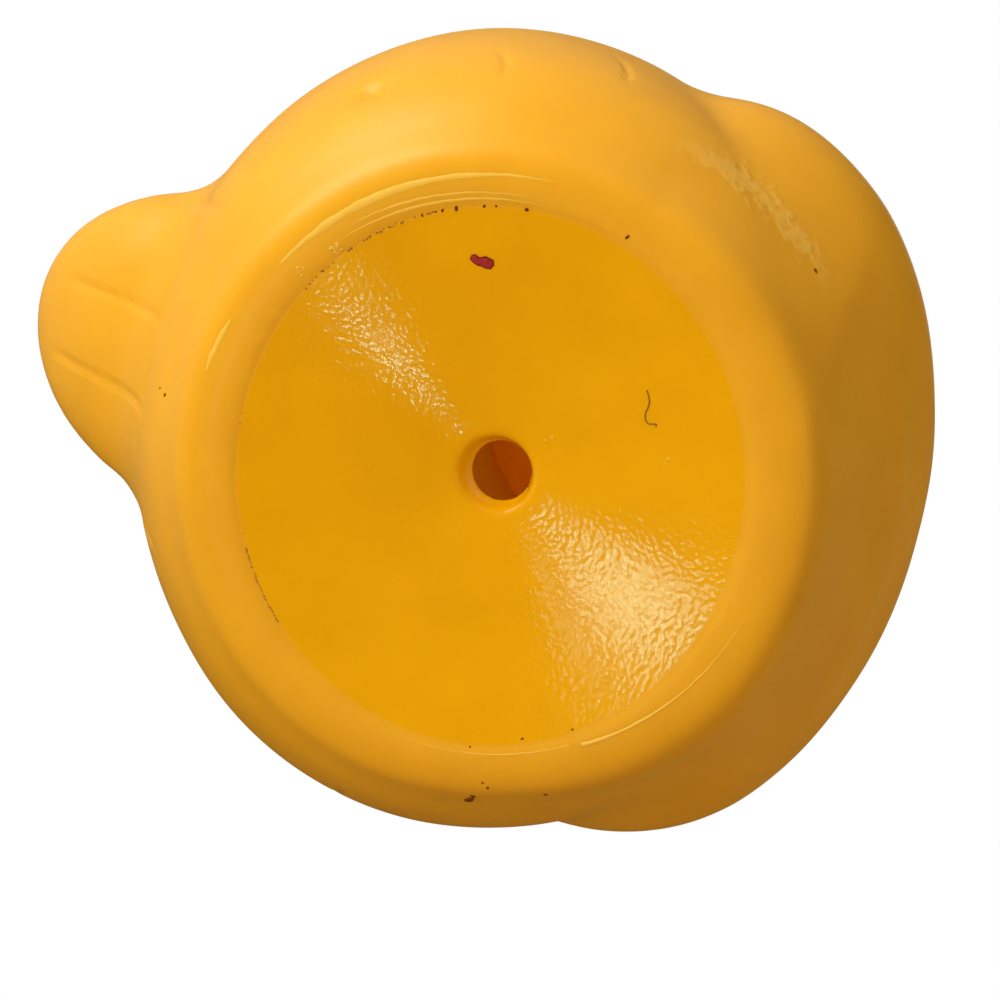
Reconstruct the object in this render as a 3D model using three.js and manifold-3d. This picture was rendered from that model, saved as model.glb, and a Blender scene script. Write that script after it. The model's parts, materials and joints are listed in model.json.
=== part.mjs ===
// A bath duck moulded hollow in one piece of soft vinyl, with a vent hole through its base.
// Millimetres, +Z up. It stands on its foot ring and faces -Y, with its tail to +Y.

import * as THREE from 'three';
import { mergeVertices } from 'three/addons/utils/BufferGeometryUtils.js';
import Module from 'manifold-3d';

const wasm = await Module();
wasm.setup();

// Skin: one even wall all round, and the colour of the vinyl
const WALL = 2;
const VINYL = { color: 0xe9a110, roughness: 0.42, metalness: 0 };

// Base: a flat contact ring, a step up to a shallow cone, and the vent at the middle of the cone
const FOOT_RADIUS = 20.2;
const FOOT_FLAT = 1;
const FOOT_EDGE = 1.4;
const FOOT_HEIGHT = 8.5;
const DISH_SLOPE = 1.5;
const DISH_STEP = 1;
const DISH_RISE = 2.4;
const VENT_RADIUS = 2.5;

// Egg forms: half width and the reach to the front, back, top and bottom of the widest level
// A fullness over 2 makes the lower half more of a barrel than an ellipse is
const TRUNK = { side: 29, front: 27, back: 26.5, up: 16, height: 20, y: 5, lean: 0.14, full: 2.5 };
const BREAST = { side: 27.5, front: 19.1, back: 19.1, up: 13, down: 13, y: -8.7 };
const NECK = { side: 13, front: 13.5, back: 12, up: 9, down: 9, y: -3.5, drop: 2.5 };
const HEAD = { side: 14, front: 14.2, back: 14.2, up: 14.5, down: 14.5, y: -1.5, sink: 6 };

// Tail: a broad stub that comes out of the back of the trunk and tips up, with grooves between feathers
const TAIL = { side: 12, front: 12.5, back: 19, up: 8, down: 6, drop: 4, sink: 7.4 };
const TAIL_TILT = THREE.MathUtils.degToRad(25);
const GROOVE = { radius: 0.45, spread: 5.8, fan: 1.3, start: 0.3, end: 0.9, count: 2 };

// Wings: low pads on the sides of the trunk, tip up at the back
const WING = { side: 8, front: 12, back: 13, up: 7, down: 6, rise: 7, y: 8, proud: 1 };
const WING_TILT = THREE.MathUtils.degToRad(10);

// Face: a flat bill in two halves and two round eyes
const BILL = { side: 7.5, front: 7.3, back: 8, up: 2.6, down: 2.2, drop: 2.5 };
const LOWER_BILL = { side: 6, front: 5.8, back: 8, up: 2.6, down: 2.2, drop: 4.7 };
const EYE = { radius: 2.6, proud: 0.7, azimuth: 36, elevation: 20 };

// Facets around and along each kind of form
const FINE = [40, 20];
const MEDIUM = [28, 16];
const COARSE = [20, 10];
const LATHE_STEPS = 44;
const ARC_STEPS = 3;

// Where the slope of the foot ring meets the dish, and the depth at which the trunk meets the foot ring
const DISH_RADIUS = FOOT_RADIUS - FOOT_FLAT / 2 - DISH_SLOPE;
TRUNK.down = TRUNK.height / (1 - (FOOT_RADIUS / TRUNK.side) ** TRUNK.full) ** (1 / TRUNK.full);

// Room that a cutter has past the faces it cuts
const CLEAR = 10;

// An egg: a sphere with its own reach to each side, its widest level at z = 0, leaning back as it rises
function egg({ side, front, back, up, down, lean = 0, full = 2 }, [around, along]) {
  const shape = new THREE.SphereGeometry(1, around, along);
  shape.rotateX(Math.PI / 2);
  const points = shape.attributes.position;
  for (let i = 0; i < points.count; i += 1) {
    const x = points.getX(i);
    const y = points.getY(i);
    const rise = points.getZ(i);
    const power = rise < 0 ? 2 / full : 1;
    const z = Math.abs(rise) ** power * (rise > 0 ? up : -down);
    const swell = Math.max(Math.hypot(x, y), Number.EPSILON) ** (power - 1);
    points.setXYZ(i, x * swell * side, y * swell * (y > 0 ? back : front) + lean * z, z);
  }
  return shape;
}

// The same egg with every reach less by the wall, for the hollow inside it
function shrunk(form) {
  const inner = { ...form };
  for (const reach of ['side', 'front', 'back', 'up', 'down']) {
    inner[reach] -= WALL;
  }
  return inner;
}

// A turned form about Z, from points of radius and height that start and end on the axis
function turned(points) {
  const shape = new THREE.LatheGeometry(points, LATHE_STEPS);
  return shape.rotateX(Math.PI / 2);
}

// A closed geometry as a solid that can be joined and cut
function solid(geometry) {
  const bare = geometry.index ? geometry.clone() : geometry;
  bare.deleteAttribute('normal');
  bare.deleteAttribute('uv');
  const merged = mergeVertices(bare);
  return new wasm.Manifold(
    new wasm.Mesh({
      numProp: 3,
      vertProperties: new Float32Array(merged.attributes.position.array),
      triVerts: new Uint32Array(merged.index.array),
    }),
  );
}

// A solid as a geometry
function geometryOf(body) {
  const mesh = body.getMesh();
  const shape = new THREE.BufferGeometry();
  shape.setAttribute('position', new THREE.BufferAttribute(mesh.vertProperties, 3));
  shape.setIndex(new THREE.BufferAttribute(mesh.triVerts, 1));
  shape.computeVertexNormals();
  return shape;
}

function joined(solids) {
  return solids.reduce((whole, piece) => whole.add(piece));
}

// Trunk and breast, which share their widest level
function trunk(form, facets) {
  return solid(egg(form, facets).translate(0, TRUNK.y, TRUNK.height));
}

function breast(form, facets) {
  return solid(egg(form, facets).translate(0, BREAST.y, TRUNK.height));
}

// Neck, which swells from the top of the trunk and breast to the head
function neck(form, facets) {
  return solid(egg(form, facets).translate(0, NECK.y, TRUNK.height + TRUNK.up - NECK.drop));
}

// Head, sunk into the top of the trunk
const HEAD_HEIGHT = TRUNK.height + TRUNK.up + HEAD.down - HEAD.sink;

function head(form, facets) {
  return solid(egg(form, facets).translate(0, HEAD.y, HEAD_HEIGHT));
}

// Foot: a plain turned drum with a rounded outer edge, which the trunk and breast grow out of
function foot() {
  const outer = FOOT_RADIUS + FOOT_FLAT / 2;
  const edge = new THREE.Path();
  edge.absarc(outer, FOOT_EDGE, FOOT_EDGE, -Math.PI / 2, 0);
  return solid(turned([
    new THREE.Vector2(0, 0),
    ...edge.getPoints(ARC_STEPS * 2),
    new THREE.Vector2(outer + FOOT_EDGE, FOOT_HEIGHT),
    new THREE.Vector2(0, FOOT_HEIGHT),
  ]));
}

// Underside of the dish, raised by a wall for the floor of the hollow
function dishOutline(raise) {
  return [
    new THREE.Vector2(DISH_RADIUS, DISH_STEP + raise),
    new THREE.Vector2(VENT_RADIUS, DISH_STEP + DISH_RISE + raise),
    new THREE.Vector2(0, DISH_STEP + DISH_RISE + raise),
  ];
}

// Everything under the duck: the ground that it stands on and the room in its dish
function ground() {
  const reach = TRUNK.side + CLEAR;
  return solid(turned([
    new THREE.Vector2(0, -CLEAR),
    new THREE.Vector2(reach, -CLEAR),
    new THREE.Vector2(reach, 0),
    new THREE.Vector2(FOOT_RADIUS - FOOT_FLAT / 2, 0),
    ...dishOutline(0),
  ]));
}

// The floor of the hollow, which stays a wall above the dish
function floor() {
  const reach = TRUNK.side + CLEAR;
  return solid(turned([
    new THREE.Vector2(0, -CLEAR),
    new THREE.Vector2(reach, -CLEAR),
    new THREE.Vector2(reach, DISH_STEP + WALL),
    ...dishOutline(WALL),
  ]));
}

function vent() {
  const length = DISH_STEP + DISH_RISE + WALL + 2 * CLEAR;
  const drill = new THREE.CylinderGeometry(VENT_RADIUS, VENT_RADIUS, length, LATHE_STEPS / 2);
  return solid(drill.rotateX(Math.PI / 2));
}

// Tail, placed by its root at the back of the trunk and tipped up about that root
const TAIL_Y = TRUNK.y + TRUNK.back - TAIL.sink;

function tailPlaced(geometry) {
  return geometry.rotateX(TAIL_TILT).translate(0, TAIL_Y, TRUNK.height - TAIL.drop);
}

// A point on the underside of the tail, before it is tipped up
function tailUnderside(x, y) {
  const drop = 1 - (x / TAIL.side) ** 2 - (y / TAIL.back) ** 2;
  return new THREE.Vector3(x, y, -TAIL.down * Math.sqrt(Math.max(drop, 0)));
}

function tailGroove(x) {
  const points = [];
  const steps = ARC_STEPS * 2;
  for (let i = 0; i <= steps; i += 1) {
    const along = THREE.MathUtils.lerp(GROOVE.start, GROOVE.end, i / steps);
    points.push(tailUnderside(x * THREE.MathUtils.lerp(1, GROOVE.fan, along), along * TAIL.back));
  }
  const section = new THREE.Shape().absarc(0, 0, GROOVE.radius, 0, 2 * Math.PI);
  return solid(tailPlaced(new THREE.ExtrudeGeometry(section, {
    curveSegments: ARC_STEPS,
    steps,
    extrudePath: new THREE.CatmullRomCurve3(points),
  })));
}

function tail() {
  const grooves = [];
  for (let i = 0; i < GROOVE.count; i += 1) {
    grooves.push(tailGroove((i - (GROOVE.count - 1) / 2) * GROOVE.spread));
  }
  return { body: solid(tailPlaced(egg(TAIL, MEDIUM))), grooves };
}

// Wings, standing a little proud of the side of the trunk above its widest level
function wing(sideSign) {
  const trunkSide = TRUNK.side * Math.sqrt(1 - (WING.rise / TRUNK.up) ** 2);
  const pad = egg(WING, COARSE).rotateX(WING_TILT);
  const x = trunkSide + WING.proud - WING.side;
  return solid(pad.translate(sideSign * x, WING.y, TRUNK.height + WING.rise));
}

// One half of the bill, which grows out of the front of the head
function bill(half) {
  return solid(egg(half, COARSE).translate(0, HEAD.y - HEAD.front, HEAD_HEIGHT - half.drop));
}

// Eyes: shallow domes on the front of the head
function eye(sideSign) {
  const azimuth = THREE.MathUtils.degToRad(EYE.azimuth);
  const elevation = THREE.MathUtils.degToRad(EYE.elevation);
  const out = new THREE.Vector3(
    sideSign * Math.sin(azimuth) * Math.cos(elevation) * HEAD.side,
    -Math.cos(azimuth) * Math.cos(elevation) * HEAD.front,
    Math.sin(elevation) * HEAD.up,
  );
  out.setLength(out.length() - EYE.radius + EYE.proud);
  const dome = new THREE.SphereGeometry(EYE.radius, ...COARSE);
  return solid(dome.translate(out.x, out.y + HEAD.y, out.z + HEAD_HEIGHT));
}

// The hollow: trunk, breast, neck and head less the wall, above the floor
function hollow() {
  const room = joined([
    trunk(shrunk(TRUNK), MEDIUM),
    breast(shrunk(BREAST), COARSE),
    neck(shrunk(NECK), COARSE),
    head(shrunk(HEAD), COARSE),
  ]);
  return room.subtract(floor());
}

function duckBody() {
  const { body: tailBody, grooves } = tail();
  const outside = joined([
    trunk(TRUNK, FINE),
    breast(BREAST, MEDIUM),
    neck(NECK, COARSE),
    head(HEAD, MEDIUM),
    foot(),
    tailBody,
    wing(1),
    wing(-1),
    bill(BILL),
    bill(LOWER_BILL),
    eye(1),
    eye(-1),
  ]);
  const cuts = joined([ground(), hollow(), vent(), ...grooves]);
  return geometryOf(outside.subtract(cuts));
}

// The origin lies under the middle of the duck's length
const shape = duckBody();
shape.computeBoundingBox();
const { min, max } = shape.boundingBox;
shape.translate(0, -(min.y + max.y) / 2, 0);

const duck = new THREE.Mesh(shape, new THREE.MeshStandardMaterial(VINYL));
duck.name = 'duck_body';

const group = new THREE.Group();
group.add(duck);

export default group;
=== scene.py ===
# A bath duck moulded hollow in one piece of soft vinyl, seen from below as in the photograph.
# Every object is in metres in the frame that the part shares; the duck's own sizes are in millimetres.

import json
import math
from functools import partial

import bmesh
import bpy
import numpy as np
from mathutils import Matrix, Vector, noise


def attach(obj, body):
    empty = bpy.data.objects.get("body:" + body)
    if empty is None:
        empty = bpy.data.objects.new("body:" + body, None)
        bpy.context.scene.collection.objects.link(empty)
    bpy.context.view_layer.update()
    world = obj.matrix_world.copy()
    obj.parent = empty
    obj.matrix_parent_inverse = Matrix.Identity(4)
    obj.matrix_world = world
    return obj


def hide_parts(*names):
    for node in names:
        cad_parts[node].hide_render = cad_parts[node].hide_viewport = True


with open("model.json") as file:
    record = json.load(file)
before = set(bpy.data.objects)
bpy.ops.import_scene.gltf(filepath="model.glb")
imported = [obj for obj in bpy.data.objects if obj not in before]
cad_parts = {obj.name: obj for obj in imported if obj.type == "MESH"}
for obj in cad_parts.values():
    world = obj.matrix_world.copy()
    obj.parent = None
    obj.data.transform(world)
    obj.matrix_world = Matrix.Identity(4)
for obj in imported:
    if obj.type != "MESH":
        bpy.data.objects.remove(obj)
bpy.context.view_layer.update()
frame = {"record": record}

# Skin of the duck
# One hollow shell of soft PVC, about two millimetres thick, rotation-moulded in a two-part mould.
# Trunk, breast, neck, head, tail, wings, bill and foot ring are one skin that runs in through the vent.

MM = 0.001
WALL = 2.0
AXIS_Y = frame["record"]["mounts"][0]["pos_m"][1] / MM
TRUNK = {"side": 29, "front": 27, "back": 26.5, "up": 16, "down": 24.6, "lean": 0.14, "full": 2.5}
BREAST = {"side": 27.5, "front": 19.1, "back": 19.1, "up": 13, "down": 13}
NECK = {"side": 13, "front": 13.5, "back": 12, "up": 9, "down": 9}
HEAD = {"side": 14, "front": 14.2, "back": 14.2, "up": 14.5, "down": 14.5}
TAIL = {"side": 12, "front": 12.5, "back": 19, "up": 8, "down": 6}
WING = {"side": 8, "front": 12, "back": 13, "up": 7, "down": 6}
BILL = {"side": 7.5, "front": 7.3, "back": 8, "up": 2.6, "down": 2.2}
LOWER_BILL = {"side": 6, "front": 5.8, "back": 8, "up": 2.6, "down": 2.2}
TRUNK_AT = (0, 4.5, 20)
BREAST_AT = (0, -8.7, 20)
NECK_AT = (0, -3.5, 33.5)
HEAD_AT = (0, -1.5, 44.5)
TAIL_AT = (0, 24.1, 16)
WING_AT = (19.1, 8, 27)
BILL_AT = (0, -15.7, 42)
LOWER_BILL_AT = (0, -15.7, 39.8)
TAIL_TILT = 25
WING_TILT = 10
EYE_AT = (6.47, -12.02, 48.77)
EYE_RADIUS = 2.6
FOOT_OUTER = 18.9
FOOT_EDGE = 2.6
FOOT_TOP = 8.5
VENT_RADIUS = 2.6
VENT_TAPER = 0.3
DISH_WIDE = 18.6
DISH_LONG = 17.75
BASE_SHARES = (0.137, 1, 1.025, 1.07)
BASE_LEVELS = (3.1, 0.26, 0.1, 0.0)
FILLETS = {"neck": 6, "head": 3, "tail": 2.4, "wing": 2.2, "bill": 1.0, "eye": 0.3}
BREAST_FILLET = {"at": (7, 20), "size": (1.4, 7)}
FOOT_FILLETS = (3, 8)
RING_ROUND = 1.2
VENT_ROUND = 0.45


def placed(x, y, z, at, tilt=0):
    """Points as the form at that place sees them, with its tilt about X taken out."""
    x, y, z = x - at[0], y - at[1], z - at[2]
    c, s = math.cos(math.radians(tilt)), math.sin(math.radians(tilt))
    return x, c * y + s * z, c * z - s * y


def egg(x, y, z, form):
    """How far points are outside an egg form with its own reach to each side, less than 0 inside."""
    lean = form.get("lean", 0)
    y = y - lean * z
    reach = np.where(y > 0, form["back"], form["front"])
    rise = np.where(z > 0, form["up"], form["down"])
    full = np.where(z > 0, 2.0, form.get("full", 2.0))
    flat = np.hypot(x / form["side"], y / reach) + 1e-9
    tall = np.abs(z) / rise
    level = (flat**full + tall**full) ** (1 / full)
    pull = (flat / level) ** (full - 1) / flat
    slope_x = pull * x / form["side"] ** 2
    slope_y = pull * y / reach**2
    slope_z = np.sign(z) * (tall / level) ** (full - 1) / rise - lean * slope_y
    return (level - 1) / np.sqrt(slope_x**2 + slope_y**2 + slope_z**2)


def join(a, b, fillet):
    """Two forms joined with a soft fillet."""
    return np.minimum(a, b) - np.maximum(fillet - np.abs(a - b), 0) ** 2 / (4 * fillet)


def trim(a, b, rounding):
    """What two forms share, with a rounded edge."""
    return -join(-a, -b, rounding)


def dish_share(x, y):
    """Distance from the vent, as a share of the dish, which is a little wider than it is long."""
    return np.hypot(x / DISH_WIDE, y / DISH_LONG)


def underside(x, y):
    """Height of the dish, the small step at its edge and the foot ring above the ground."""
    return np.interp(dish_share(x, y), BASE_SHARES, BASE_LEVELS)


def shell_core(x, y, z):
    """Trunk, breast, neck and head."""
    trunk = egg(*placed(x, y, z, TRUNK_AT), TRUNK)
    fillet = np.interp(-y, BREAST_FILLET["at"], BREAST_FILLET["size"])
    whole = join(trunk, egg(*placed(x, y, z, BREAST_AT), BREAST), fillet)
    whole = join(whole, egg(*placed(x, y, z, NECK_AT), NECK), FILLETS["neck"])
    return join(whole, egg(*placed(x, y, z, HEAD_AT), HEAD), FILLETS["head"])


def bill_form(x, y, z):
    upper = egg(*placed(x, y, z, BILL_AT), BILL)
    lower = egg(*placed(x, y, z, LOWER_BILL_AT), LOWER_BILL)
    return np.minimum(upper, lower)


def eye_form(x, y, z):
    return np.sqrt((x - EYE_AT[0]) ** 2 + (y - EYE_AT[1]) ** 2 + (z - EYE_AT[2]) ** 2) - EYE_RADIUS


def skin(x, y, z):
    """How far points are outside the vinyl, for the half of the duck at x over 0."""
    radius = np.hypot(x, y)
    core = shell_core(x, y, z)
    over, under = np.maximum(radius - FOOT_OUTER, 0), np.maximum(FOOT_EDGE - z, 0)
    foot = np.maximum(np.hypot(over, under) - FOOT_EDGE, z - FOOT_TOP)
    whole = join(core, foot, np.interp(-y, BREAST_FILLET["at"], FOOT_FILLETS))
    whole = join(whole, egg(*placed(x, y, z, TAIL_AT, TAIL_TILT), TAIL), FILLETS["tail"])
    whole = join(whole, egg(*placed(x, y, z, WING_AT, WING_TILT), WING), FILLETS["wing"])
    whole = join(whole, bill_form(x, y, z), FILLETS["bill"])
    whole = join(whole, eye_form(x, y, z), FILLETS["eye"])
    below = underside(x, y)
    whole = trim(whole, below - z, RING_ROUND)
    hollow = np.maximum(core + WALL, np.maximum(below, BASE_LEVELS[1]) + WALL - z)
    whole = np.maximum(whole, -hollow)
    vent = radius - VENT_RADIUS + VENT_TAPER * (z - BASE_LEVELS[0])
    return trim(whole, np.where(z < FOOT_TOP, -vent, -WALL), VENT_ROUND)


def slopes(points, step=0.04):
    """The gradient of the skin's distance at each point."""
    found = np.empty_like(points)
    for axis in range(3):
        ahead, behind = points.copy(), points.copy()
        ahead[:, axis] += step
        behind[:, axis] -= step
        found[:, axis] = (skin(*ahead.T) - skin(*behind.T)) / (2 * step)
    return found


def settle(points, rounds, longest=0.5, flattest=0.1):
    """Moves points onto the skin, each by no more than the longest step in a round."""
    for _ in range(rounds):
        slope = slopes(points)
        steep = np.maximum((slope**2).sum(1), flattest)
        move = np.clip(skin(*points.T) / steep, -longest, longest)
        points = points - move[:, None] * slope
    return points


def surface_net(pitch):
    """The skin's half at x over 0 as points and four-sided faces, on a grid of that pitch."""
    half_width, length, height = 30.5, (-30, 43), (-1, 60)
    xs = np.arange(-0.5 * pitch, half_width, pitch)
    ys = np.arange(*length, pitch)
    zs = np.arange(*height, pitch)
    values = np.stack([skin(*np.meshgrid(xs, ys, z, indexing="ij")) for z in zs], -1)[:, :, 0, :]
    size = [n - 1 for n in values.shape]
    inside = values < 0
    corners = [(i, j, k) for i in (0, 1) for j in (0, 1) for k in (0, 1)]
    block = [inside[i : i + size[0], j : j + size[1], k : k + size[2]] for i, j, k in corners]
    count = sum(b.astype(np.int8) for b in block)
    cells = np.argwhere((count > 0) & (count < len(corners)))
    number = np.full(size, -1)
    number[tuple(cells.T)] = np.arange(len(cells))
    total = np.zeros((len(cells), 3))
    crossings = np.zeros(len(cells))
    for a in corners:
        for axis in range(3):
            if a[axis]:
                continue
            b = tuple(1 if n == axis else a[n] for n in range(3))
            start, end = values[tuple((cells + a).T)], values[tuple((cells + b).T)]
            cross = (start < 0) != (end < 0)
            part = np.where(cross, start / np.where(cross, start - end, 1), 0)
            spot = cells + np.array(a, float)
            spot[:, axis] += part
            total += spot * cross[:, None]
            crossings += cross
    points = total / crossings[:, None] * pitch + np.array([xs[0], ys[0], zs[0]])
    faces = []
    for axis in range(3):
        one, two = (axis + 1) % 3, (axis + 2) % 3
        low = [slice(1, n) for n in size]
        low[axis] = slice(0, size[axis])
        high = list(low)
        high[axis] = slice(1, size[axis] + 1)
        change = inside[tuple(low)].astype(np.int8) - inside[tuple(high)].astype(np.int8)
        at = np.argwhere(change != 0)
        turn = change[tuple(at.T)]
        for n in range(3):
            if n != axis:
                at[:, n] += 1
        quad = []
        for back_one, back_two in ((1, 1), (0, 1), (0, 0), (1, 0)):
            cell = at.copy()
            cell[:, one] -= back_one
            cell[:, two] -= back_two
            quad.append(number[tuple(cell.T)])
        quad = np.stack(quad, 1)
        quad[turn < 0] = quad[turn < 0][:, ::-1]
        faces.append(quad)
    return points, np.concatenate(faces)


def evened(points, faces, rounds, seam_at=1e-6):
    """Spreads the points evenly over the skin, and keeps the seam on the middle of the duck."""
    edges = np.concatenate([faces[:, [n, (n + 1) % 4]] for n in range(4)])
    edges = np.concatenate([edges, edges[:, ::-1]])
    reach = np.bincount(edges[:, 0], minlength=len(points))[:, None]
    seam = points[:, 0] < seam_at
    for _ in range(rounds):
        sums = [np.bincount(edges[:, 0], points[edges[:, 1], n], len(points)) for n in range(3)]
        around = np.stack(sums, 1)
        points = settle(0.5 * points + 0.5 * around / reach, 1)
        points[seam, 0] = 0
    return points


def cut(mesh, level, near, snap=0.02):
    """Cuts the faces of the mesh along the line where level is 0, where near is true."""
    mesh.verts.ensure_lookup_table()
    spots = np.array([v.co for v in mesh.verts]).T
    chosen = np.flatnonzero(near(*spots))
    levels = level(*spots[:, chosen])
    levels[np.abs(levels) < snap] = 0
    value = {mesh.verts[n]: v for n, v in zip(chosen.tolist(), levels.tolist())}
    mesh.faces.index_update()
    beside = sorted({f for v in value for f in v.link_faces}, key=lambda f: f.index)
    crossing = []
    for face in beside:
        here = [value.get(v, 0) for v in face.verts]
        if min(here) < 0 < max(here):
            crossing.append(face)
    bmesh.ops.triangulate(mesh, faces=crossing)
    mesh.edges.index_update()
    line = {v for v in value if value[v] == 0}
    crossed = {e for v in value for e in v.link_edges if e.other_vert(v) in value}
    crossed = [e for e in crossed if value[e.verts[0]] * value[e.verts[1]] < 0]
    for edge in sorted(crossed, key=lambda e: e.index):
        start, end = edge.verts
        part = value[start] / (value[start] - value[end])
        line.add(bmesh.utils.edge_split(edge, start, part)[1])
    mesh.faces.index_update()
    for face in sorted({f for v in line for f in v.link_faces}, key=lambda f: f.index):
        ends = [v for v in face.verts if v in line]
        if len(ends) == 2 and ends[0] not in [e.other_vert(ends[1]) for e in ends[1].link_edges]:
            bmesh.utils.face_split(face, ends[0], ends[1])
    mesh.verts.index_update()
    mesh.edges.index_update()
    return line


def score(mesh, level, near, snap, rounds=3):
    """Cuts along the line where level is 0, and settles the points of that line on the skin."""
    line = list(cut(mesh, level, near, snap))
    for vert, spot in zip(line, settle(np.array([v.co for v in line]), rounds)):
        vert.co = spot


def ease(value, start, end):
    """Rises smoothly from 0 at start to 1 at end."""
    part = np.clip((value - start) / (end - start), 0, 1)
    return part * part * (3 - 2 * part)


def faded(along, start, end, fades):
    """1 from start to end, with a soft beginning and end inside them."""
    return ease(along, start, start + fades[0]) * ease(along, end, end - fades[1])


def press(mesh, across, depth, width):
    """Presses a groove into the outside of the mesh, along the line where across is 0."""

    def near(x, y, z):
        outside = shell_core(x, y, z) > -WALL / 2
        return outside & (depth(x, y, z) > 0) & (np.abs(across(x, y, z)) < 4 * width)

    for side in (-width, 0, width):
        cut(mesh, lambda x, y, z: across(x, y, z) - side, near)
    mesh.verts.ensure_lookup_table()
    spots = np.array([v.co for v in mesh.verts])
    share = np.clip(1 - np.abs(across(*spots.T)) / width, 0, 1)
    deep = np.where(near(*spots.T), depth(*spots.T), 0) * ease(share, 0, 1)
    chosen = np.flatnonzero(deep > 0)
    out = slopes(spots[chosen])
    out /= np.linalg.norm(out, axis=1)[:, None]
    for n, move in zip(chosen, out * deep[chosen, None]):
        mesh.verts[n].co -= Vector(move)


GRID = 0.62
SEAM_SNAP = 1e-3
points, faces = surface_net(GRID)
points = settle(points, rounds=3)
points = evened(points, faces, rounds=4)
points = settle(points, rounds=2)
points[np.abs(points[:, 0]) < SEAM_SNAP, 0] = 0

half = bmesh.new()
half_verts = [half.verts.new(p) for p in points]
for quad in faces:
    half.faces.new([half_verts[n] for n in quad])

DISH_EDGE = {"height": 1.5, "share": 0.1}


def by_dish_edge(x, y, z):
    return (z < DISH_EDGE["height"]) & (np.abs(dish_share(x, y) - BASE_SHARES[1]) < DISH_EDGE["share"])


dish_line = cut(half, lambda x, y, z: dish_share(x, y) - BASE_SHARES[1], by_dish_edge, snap=0.012)
for vert in dish_line:
    grow = BASE_SHARES[1] / dish_share(vert.co.x, vert.co.y)
    vert.co = (vert.co.x * grow, vert.co.y * grow, BASE_LEVELS[1])
step_line = cut(half, lambda x, y, z: dish_share(x, y) - BASE_SHARES[2], by_dish_edge, snap=0.004)
for vert in step_line:
    vert.co.z = BASE_LEVELS[2]

VENT_EDGES = (
    {"radius": VENT_RADIUS, "height": BASE_LEVELS[0], "way": -1, "steps": (0.35, 0, -0.4),
     "near": (1, 1.4)},
    {"radius": VENT_RADIUS - VENT_TAPER * WALL, "height": BASE_LEVELS[0] + WALL, "way": 1,
     "steps": (-0.2, 0, 0.2), "near": (0.6, 0.8)},
)
VENT_SNAP = 0.05


def by_vent(edge, x, y, z):
    wide, tall = edge["near"]
    return (np.hypot(x, y) < VENT_RADIUS + wide) & (np.abs(z - edge["height"]) < tall)


def vent_ring(edge, step, x, y, z):
    """Runs through 0 on a ring round the vent, that step along the skin from the edge."""
    return np.hypot(x, y) - edge["radius"] + edge["way"] * (z - edge["height"]) - step


for edge in VENT_EDGES:
    for step in edge["steps"]:
        score(half, partial(vent_ring, edge, step), partial(by_vent, edge), VENT_SNAP)

TAIL_LINES = (
    {"at": 3.3, "taper": 0.03, "start": -1.5, "end": 14.5, "width": 0.6, "depth": 0.16},
    {"at": 11.8, "taper": 0.17, "start": -5, "end": 9, "width": 0.6, "depth": 0.16},
)
TAIL_FADES = (2, 3)


def across_tail(line, x, y, z):
    side, along, _ = placed(x, y, z, TAIL_AT, TAIL_TILT)
    return side - line["at"] + line["taper"] * along


def tail_depth(line, x, y, z):
    _, along, height = placed(x, y, z, TAIL_AT, TAIL_TILT)
    return np.where(height < 0, line["depth"] * faded(along, line["start"], line["end"], TAIL_FADES), 0)


for line in TAIL_LINES:
    press(half, partial(across_tail, line), partial(tail_depth, line), line["width"])

FEATHER_TIPS = (
    {"y": 6.5, "low": 6.4, "curl": 0.078, "top": 12, "width": 0.5, "depth": 0.15},
    {"y": -1.2, "low": 10.5, "curl": 0.066, "top": 17, "width": 0.5, "depth": 0.15},
)
TIP_FADES = (1, 3)
FLANK_FROM = 14


def across_tip(line, x, y, z):
    rise = np.maximum(z - line["low"], 0)
    return (y - line["y"] - line["curl"] * rise**2) / np.hypot(1, 2 * line["curl"] * rise)


def tip_depth(line, x, y, z):
    return np.where(x > FLANK_FROM, line["depth"] * faded(z, line["low"], line["top"], TIP_FADES), 0)


for line in FEATHER_TIPS:
    press(half, partial(across_tip, line), partial(tip_depth, line), line["width"])

WING_LINES = {"levels": (-3.2, -0.6, 2.0), "curl": 0.012, "start": -5, "end": 11.5, "fades": (3, 3),
              "width": 0.6, "depth": 0.3}


def across_wing(level, x, y, z):
    _, along, height = placed(x, y, z, WING_AT, WING_TILT)
    return height - level - WING_LINES["curl"] * (along - WING_LINES["start"]) ** 2


def wing_depth(x, y, z):
    side, along, _ = placed(x, y, z, WING_AT, WING_TILT)
    fade = faded(along, WING_LINES["start"], WING_LINES["end"], WING_LINES["fades"])
    return np.where(side > 0, WING_LINES["depth"] * fade, 0)


for level in WING_LINES["levels"]:
    press(half, partial(across_wing, level), wing_depth, WING_LINES["width"])

BILL_BRINK = 0.4
BILL_NEAR = 2
PARTING_RINGS = (0.35, -0.35, 0)
PARTING_NEAR = 0.5
EYE_BRINK = 0.05
EYE_RINGS = (0.3, -0.35, 0)
EYE_NEAR = 2
FACE_FRONT = HEAD_AT[1] - 5
FACE_SNAP = 0.04


def bill_border(x, y, z):
    head = egg(*placed(x, y, z, HEAD_AT), HEAD)
    return bill_form(x, y, z) - np.minimum(head, BILL_BRINK)


def by_bill(x, y, z):
    return (bill_form(x, y, z) < BILL_NEAR) & (y < FACE_FRONT)


def parting(ring, x, y, z):
    """Runs through 0 along the parting of the bill, or that far from it."""
    upper = egg(*placed(x, y, z, BILL_AT), BILL)
    return upper - egg(*placed(x, y, z, LOWER_BILL_AT), LOWER_BILL) - ring


def by_parting(x, y, z):
    outside = shell_core(x, y, z) > -WALL / 2
    return outside & (np.abs(bill_form(x, y, z)) < PARTING_NEAR) & (y < FACE_FRONT)


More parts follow.
